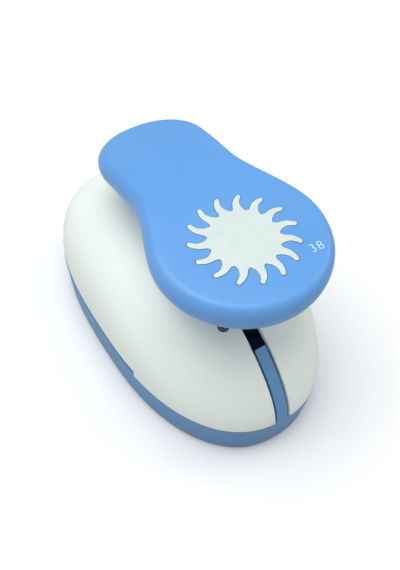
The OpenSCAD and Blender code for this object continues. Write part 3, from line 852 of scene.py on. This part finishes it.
class HOUSING_OT_build(bpy.types.Operator):
    """Builds the domed housing, cut for the lever's arm and stepped up for the paper throat."""
    bl_idname = "craft_punch.housing"
    bl_label = "Housing"

    def execute(self, context):
        count, layers = 160, 30
        shares = [0.998 * sin(pi / 2 * i / layers) for i in range(layers + 1)]
        rings = [oval(0, count, t, RIM_Z + DOME_H * t) for t in shares]
        dome = loft("housing_shell", rings, close_first=False)
        slot = settings().slot_width / 2
        slot_rear = PIVOT_Y + 1 * MM
        edge_z = RIM_Z + THROAT_H
        edit(dome)
        for place, way in (((slot, 0, 0), (1, 0, 0)), ((-slot, 0, 0), (1, 0, 0)),
                           ((0, slot_rear, 0), (0, 1, 0)), ((0, THROAT_Y, 0), (0, 1, 0)),
                           ((0, 0, edge_z), (0, 0, 1))):
            bpy.ops.mesh.select_all(action="SELECT")
            bpy.ops.mesh.bisect(plane_co=place, plane_no=way, use_fill=False)
        pick_faces(dome, lambda c, n: (abs(c.x) < slot and c.y < slot_rear)
                   or (c.y > THROAT_Y and c.z < edge_z))
        bpy.ops.mesh.delete(type="FACE")
        bpy.ops.mesh.select_all(action="SELECT")
        bpy.ops.mesh.remove_doubles(threshold=0.03 * MM)
        leave()
        outwards(dome)
        if sum(p.normal.z * p.area for p in dome.data.polygons) < 0:
            edit(dome)
            bpy.ops.mesh.select_all(action="SELECT")
            bpy.ops.mesh.flip_normals()
            leave()
        modify(dome, "SOLIDIFY", thickness=WALL, offset=-1, use_even_offset=True, use_rim=True)
        soften(dome, settings().edge_round, 50, 3)
        posts = self.posts()
        dome = joined("housing_shell", [dome] + posts)
        finish_piece(dome, "body", housing_plastic(), ["housing"], 30)
        return {"FINISHED"}

    def posts(self):
        """Screw posts that hang from the inside of the dome."""
        made = []
        for y, inset, low, high in ((FRONT_SCREW_Y, FRONT_SCREW_IN, RIM_Z, FRONT_POST_TOP),
                                    (REAR_SCREW_Y, REAR_SCREW_IN, GUIDE_TOP, REAR_POST_TOP)):
            for x, y2 in both_sides((side_x(y, inset), y)):
                post = rounded_rod("post", POST_R, low, high, 0.25 * MM, place=(x, y2, 0))
                hole = rounded_rod("hole", PILOT_R, low - OVER, low + POST_HOLE_L, BORE_EDGE,
                                   place=(x, y2, 0))
                cut(post, hole)
                made.append(post)
        return made


class LEVER_OT_cap(bpy.types.Operator):
    """Builds the lever's hollow keyhole cap, with a shallow seat for the sun."""
    bl_idname = "craft_punch.lever_cap"
    bl_label = "Lever cap"

    def execute(self, context):
        profile = []
        for i in range(15):
            a = pi / 2 * i / 14
            profile.append((EDGE_IN * (1 - sin(a)), EDGE_DOWN * (1 - cos(a))))
        for share in (0.3, 0.6, 0.85):
            profile.append((RIM_IN * share * share, EDGE_DOWN + (CAP_H - EDGE_DOWN) * share))
        profile += [(RIM_IN * 0.9, CAP_H - 0.25 * MM), (RIM_IN + 0.12 * MM, CAP_H - 0.06 * MM),
                    (RIM_IN + 0.4 * MM, CAP_H), (RIM_IN + CAP_WALL - 0.3 * MM, CAP_H),
                    (RIM_IN + CAP_WALL, CAP_H - 0.3 * MM), (CAP_WALL + 0.4 * MM, EDGE_DOWN + 0.4 * MM),
                    (CAP_WALL + 0.8 * MM, ROOF_T + 1.0 * MM), (EDGE_IN - 0.2 * MM, ROOF_T + 0.2 * MM),
                    (EDGE_IN + 0.6 * MM, ROOF_T)]
        rings = [lever_outline(inset, drop) for inset, drop in profile]
        across = (0.75, 0.5, 0.25, 0.0)
        walls = loft("walls", rings + [narrowed(rings[-1], share) for share in across], False, False)
        roof = loft("roof", rings[:1] + [narrowed(rings[0], share) for share in across], False, False)
        cap = joined("lever_cap_shell", [walls, roof])
        edit(cap)
        bpy.ops.mesh.select_all(action="SELECT")
        bpy.ops.mesh.remove_doubles(threshold=0.001 * MM)
        leave()
        outwards(cap)
        seat = loft("seat", [sun_ring(SEAT_GAP, LEVER_Z + up, SUN_Y, LEVER_FALL)
                             for up in (-0.4 * MM, 1 * MM)])
        cut(cap, seat)
        cap = joined("lever_cap_shell", [cap] + self.posts())
        finish_piece(cap, "lever", lever_plastic(), ["lever_cap"], 40)
        return {"FINISHED"}

    def posts(self):
        """Posts under the roof for the arm's screws and the bumpers."""
        made = []
        for y in ARM_SCREWS_Y:
            for x, y2 in both_sides((ARM_SCREW_X, y)):
                low = LEVER_Z - LEVER_FALL * (y - LOBE_Y) - FLANGE_DROP
                made.append(rounded_rod("post", POST_R, low, top_at(y) - 1.8 * MM, 0.2 * MM,
                                        place=(x, y2, 0)))
        for x, y2 in both_sides((BUMPER_X, BUMPER_Y)):
            made.append(rounded_rod("post", BUMPER_POST_R, LEVER_Z - CAP_H, LEVER_Z - 1.3 * MM, 0.3 * MM,
                                    place=(x, y2, 0)))
        return made


class LEVER_OT_sun(bpy.types.Operator):
    """Builds the silver sun let into the lever's top face."""
    bl_idname = "craft_punch.sun"
    bl_label = "Sun"

    def execute(self, context):
        rings = [(0.0, -0.3 * MM), (0.0, SUN_PROUD - 0.14 * MM),
                 (-0.05 * MM, SUN_PROUD - 0.04 * MM), (-0.15 * MM, SUN_PROUD)]
        sun = loft("sun_inlay", [sun_ring(grow, LEVER_Z + up, SUN_Y, LEVER_FALL) for grow, up in rings])
        finish_piece(sun, "lever", silver_foil(), ["sun_emblem"], 40)
        return {"FINISHED"}


class LEVER_OT_size_mark(bpy.types.Operator):
    """Prints the punch's size in millimetres beside the sun."""
    bl_idname = "craft_punch.size_mark"
    bl_label = "Size mark"

    def execute(self, context):
        only(None)
        bpy.ops.object.text_add()
        mark = bpy.context.object
        mark.name = "size_mark"
        mark.data.body = settings().size_mark
        mark.data.size = MARK_SIZE
        mark.data.extrude = 0.02 * MM
        mark.data.offset = -0.05 * MM
        mark.data.space_character = 1.15
        mark.data.align_x = "CENTER"
        mark.data.align_y = "CENTER"
        only(mark)
        bpy.ops.object.convert(target="MESH")
        mark = added("size_mark")
        mark.rotation_euler = Euler((-atan(LEVER_FALL), 0, radians(MARK_TURN)))
        mark.location = (MARK_X, MARK_Y, LEVER_Z - LEVER_FALL * (MARK_Y - LOBE_Y) + 0.02 * MM)
        settle(mark)
        finish_piece(mark, "lever", white_print())
        return {"FINISHED"}


class LEVER_OT_arm(bpy.types.Operator):
    """Rounds the edges of the arm under the cap."""
    bl_idname = "craft_punch.lever_arm"
    bl_label = "Lever arm"

    def execute(self, context):
        arm = refined("arm_web", "lever_arm", 0.2 * MM, 40)
        finish_piece(arm, "lever", base_plastic(), ["lever_arm"])
        return {"FINISHED"}


class LEVER_OT_bumpers(bpy.types.Operator):
    """Builds the two rubber bumpers under the front of the cap."""
    bl_idname = "craft_punch.bumpers"
    bl_label = "Stop bumpers"

    def execute(self, context):
        low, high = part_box("stop_bumpers")
        top = LEVER_Z - CAP_H
        made = []
        radius = (high.y - low.y) / 2
        for x, y in both_sides((high.x - radius, (low.y + high.y) / 2)):
            made.append(rounded_rod("bumper", radius, low.z, top, 0.5 * MM, 40, place=(x, y, 0)))
            made.append(rounded_rod("plug", radius - 0.6 * MM, top - 0.5 * MM, high.z, 0.1 * MM, 32,
                                    place=(x, y, 0)))
        bumpers = joined("bumpers", made)
        finish_piece(bumpers, "lever", black_rubber(), ["stop_bumpers"])
        return {"FINISHED"}


class BASE_OT_feet(bpy.types.Operator):
    """Builds the four rubber feet, dished underneath."""
    bl_idname = "craft_punch.feet"
    bl_label = "Rubber feet"

    def execute(self, context):
        made = []
        for y, inset in FEET:
            for x, y2 in both_sides((side_x(y, inset), y)):
                foot = rounded_rod("foot", FOOT_R, 0, BASE_Z, 0.25 * MM, 48, place=(x, y2, 0))
                edit(foot)
                pick_faces(foot, lambda c, n: n.z < -0.99)
                bpy.ops.mesh.inset(thickness=0.9 * MM, depth=0)
                bpy.ops.mesh.inset(thickness=0.3 * MM, depth=-0.3 * MM)
                leave()
                made.append(foot)
        feet = joined("feet", made)
        finish_piece(feet, "body", black_rubber(), ["rubber_feet"])
        return {"FINISHED"}


class FRAME_OT_plates(bpy.types.Operator):
    """Rounds the edges of the steel plates, the spacer and the pivot bracket."""
    bl_idname = "craft_punch.plates"
    bl_label = "Steel plates"

    def execute(self, context):
        for name, node in (("die", "die_plate"), ("spacer_bar", "throat_spacer"), ("guide", "guide_plate"),
                           ("bracket", "pivot_bracket")):
            plate = refined(name, node, 0.12 * MM, 50)
            finish_piece(plate, "body", plate_steel(), [node])
        return {"FINISHED"}


class FRAME_OT_pins(bpy.types.Operator):
    """Rounds the pins, posts, rivets and clips."""
    bl_idname = "craft_punch.pins"
    bl_label = "Pins, rivets and clips"

    def execute(self, context):
        for name, node, slot, maker, body in (
                ("hinge_pin", "pivot_pin", "zinc_steel", zinc_steel, "body"),
                ("posts", "guide_posts", "zinc_steel", zinc_steel, "body"),
                ("plate_rivets", "frame_rivets", "zinc_steel", zinc_steel, "body"),
                ("bracket_heads", "bracket_rivets", "zinc_steel", zinc_steel, "body"),
                ("hinge_clips", "pin_clips", "spring_steel", spring_steel, "body"),
                ("top_clips", "post_clips", "spring_steel", spring_steel, "body"),
                ("push_pin", "press_pin", "zinc_steel", zinc_steel, "lever")):
            piece = refined(name, node, 0.12 * MM, 50)
            finish_piece(piece, body, maker(), [node])
        return {"FINISHED"}


class PLUNGER_OT_build(bpy.types.Operator):
    """Rounds the sun-shaped punch and the head that carries it."""
    bl_idname = "craft_punch.plunger"
    bl_label = "Punch and head"

    def execute(self, context):
        punch = refined("cutter", "punch", 0.04 * MM, 50)
        finish_piece(punch, "plunger", plate_steel(), ["punch"])
        head = refined("head", "punch_head", 0.3 * MM, 50)
        finish_piece(head, "plunger", grey_plastic(), ["punch_head"])
        return {"FINISHED"}


def cross_recess(ob, place, radius):
    """Cuts a cross-shaped driver recess into a screw head."""
    for turn in (0, 90):
        only(None)
        bpy.ops.mesh.primitive_cube_add(size=1, location=place)
        blade = added("blade")
        blade.scale = (radius * 1.2, radius * 0.22, radius * 0.7)
        blade.rotation_euler = (0, 0, radians(turn + 20))
        settle(blade)
        cut(ob, blade)


class SCREWS_OT_build(bpy.types.Operator):
    """Rounds the screws and cuts a driver recess in each head."""
    bl_idname = "craft_punch.screws"
    bl_label = "Screws"

    def execute(self, context):
        for name, node, body, way in (("base_fixings", "base_screws", "body", -1),
                                      ("die_fixings", "die_screws", "body", 1),
                                      ("housing_fixings", "housing_screws", "body", -1),
                                      ("head_fixings", "punch_screws", "plunger", 1),
                                      ("cap_fixings", "lever_screws", "lever", -1)):
            screws = refined(name, node, 0.15 * MM, 50)
            for place in self.head_places(node, way):
                cross_recess(screws, place, RECESS_R)
            finish_piece(screws, body, zinc_steel(), [node])
        return {"FINISHED"}

    def head_places(self, node, way):
        """Middle of each screw head's outer face, found from the loose solids of the node."""
        source = frame["nodes"][node].data
        clusters = []
        for vertex in source.vertices:
            for cluster in clusters:
                if (cluster[0] - vertex.co.xy).length < HEAD_REACH:
                    cluster[1].append(vertex.co)
                    break
            else:
                clusters.append((vertex.co.xy, [vertex.co]))
        places = []
        for _, points in clusters:
            end = max(p.z * way for p in points) * way
            xs = [p.x for p in points]
            ys = [p.y for p in points]
            places.append(((min(xs) + max(xs)) / 2, (min(ys) + max(ys)) / 2, end))
        return places


class SPRINGS_OT_build(bpy.types.Operator):
    """Winds the two return springs at rest length; the real springs shorten as the punch goes down, but these
    stay fixed to the body.
    """
    bl_idname = "craft_punch.springs"
    bl_label = "Return springs"

    def execute(self, context):
        for node in ("spring_left", "spring_right"):
            low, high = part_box(node)
            middle = (low + high) / 2
            outer = (high.x - low.x) / 2
            length = high.z - low.z
            coils = settings().spring_coils
            only(None)
            bpy.ops.mesh.primitive_circle_add(vertices=10, radius=WIRE_R, fill_type="NOTHING",
                                              location=(outer - WIRE_R, 0, low.z + WIRE_R),
                                              rotation=(pi / 2, 0, 0))
            coil = added(node + "_wire")
            settle(coil)
            modify(coil, "SCREW", axis="Z", screw_offset=(length - 2 * WIRE_R) / coils, iterations=coils,
                   steps=32, render_steps=32, angle=2 * pi, use_merge_vertices=False,
                   use_normal_calculate=True)
            edit(coil)
            bpy.ops.mesh.select_all(action="SELECT")
            bpy.ops.mesh.remove_doubles(threshold=0.001 * MM)
            bpy.ops.mesh.select_all(action="DESELECT")
            bpy.ops.mesh.select_mode(type="EDGE")
            bpy.ops.mesh.select_non_manifold()
            bpy.ops.mesh.edge_face_add()
            leave()
            moved(coil, (middle.x, middle.y, 0))
            outwards(coil)
            finish_piece(coil, "body", spring_steel(), [node], 60)
            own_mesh(coil)
        return {"FINISHED"}


class STAGE_OT_build(bpy.types.Operator):
    """Sets out the floor, the soft lights and the camera."""
    bl_idname = "craft_punch.stage"
    bl_label = "Stage"

    def execute(self, context):
        scene = context.scene
        only(None)
        bpy.ops.mesh.primitive_grid_add(x_subdivisions=40, y_subdivisions=40, size=6)
        floor = added("floor")
        material, tree, shader = new_material("floor")
        drift = noise(tree, tree.nodes.new("ShaderNodeTexCoord").outputs["Object"], 3.0)
        pale = blend_colours(tree, drift, (0.94, 0.94, 0.94), (0.96, 0.96, 0.96))
        # Painted shade: the camera sees the floor pale, but every other ray sees it as a darker grey, so it
        # bounces less light and deepens the shade on the punch's lower walls
        seen = tree.nodes.new("ShaderNodeLightPath").outputs["Is Camera Ray"]
        tree.links.new(blend_colours(tree, seen, (0.6, 0.6, 0.6), pale), shader.inputs["Base Color"])
        shader.inputs["Roughness"].default_value = 0.9
        floor.data.materials.append(material)
        world = bpy.data.worlds.new("studio")
        world.use_nodes = True
        world.node_tree.nodes["Background"].inputs["Color"].default_value = (0.97, 0.99, 1.0, 1.0)
        world.node_tree.nodes["Background"].inputs["Strength"].default_value = SKY_STRENGTH
        scene.world = world
        for light in LIGHTS:
            self.softbox(*light)
        self.camera(scene)
        scene.view_settings.view_transform = "Standard"
        return {"FINISHED"}

    def softbox(self, name, place, size, power):
        only(None)
        bpy.ops.object.light_add(type="AREA", location=place)
        lamp = bpy.context.object
        lamp.name = name
        lamp.data.shape = "DISK"
        lamp.data.size = size
        lamp.data.energy = power
        aim = LIGHT_AIM - Vector(place)
        lamp.rotation_euler = aim.to_track_quat("-Z", "Y").to_euler()

    def camera(self, scene):
        """Looks down on the punch from the front left."""
        around, above, roll = radians(VIEW_AROUND), radians(VIEW_ABOVE), radians(VIEW_ROLL)
        back = Vector((sin(around) * cos(above), -cos(around) * cos(above), sin(above)))
        turn = Euler((pi / 2 - above, 0, around)).to_quaternion() @ Quaternion((0, 0, 1), roll)
        only(None)
        bpy.ops.object.camera_add(location=VIEW_TARGET + back * VIEW_DISTANCE, rotation=turn.to_euler())
        camera = bpy.context.object
        camera.name = "camera"
        camera.data.lens = LENS
        camera.data.sensor_width = SENSOR
        camera.data.shift_x, camera.data.shift_y = LENS_SHIFT
        camera.data.clip_start = 0.01
        scene.camera = camera


OPERATORS = (STAGE_OT_build, BASE_OT_build, HOUSING_OT_build, BASE_OT_feet, FRAME_OT_plates, FRAME_OT_pins,
             PLUNGER_OT_build, SPRINGS_OT_build, LEVER_OT_arm, LEVER_OT_cap, LEVER_OT_sun, LEVER_OT_size_mark,
             LEVER_OT_bumpers, SCREWS_OT_build)


class PUNCH_PT_panel(bpy.types.Panel):
    """Lists the pieces of the craft punch and their settings."""
    bl_idname = "PUNCH_PT_panel"
    bl_label = "Craft punch"
    bl_space_type = "VIEW_3D"
    bl_region_type = "UI"
    bl_category = "Craft punch"

    def draw(self, context):
        for name in PunchSettings.__annotations__:
            self.layout.prop(context.scene.craft_punch, name)
        for operator in OPERATORS:
            self.layout.operator(operator.bl_idname)


CLASSES = (PunchSettings, *OPERATORS, PUNCH_PT_panel)


def register():
    for item in CLASSES:
        bpy.utils.register_class(item)
    bpy.types.Scene.craft_punch = PointerProperty(type=PunchSettings)


def unregister():
    del bpy.types.Scene.craft_punch
    for item in reversed(CLASSES):
        bpy.utils.unregister_class(item)


def main():
    register()
    for operator in OPERATORS:
        group, name = operator.bl_idname.split(".")
        getattr(getattr(bpy.ops, group), name)()


if __name__ == "__main__":
    main()
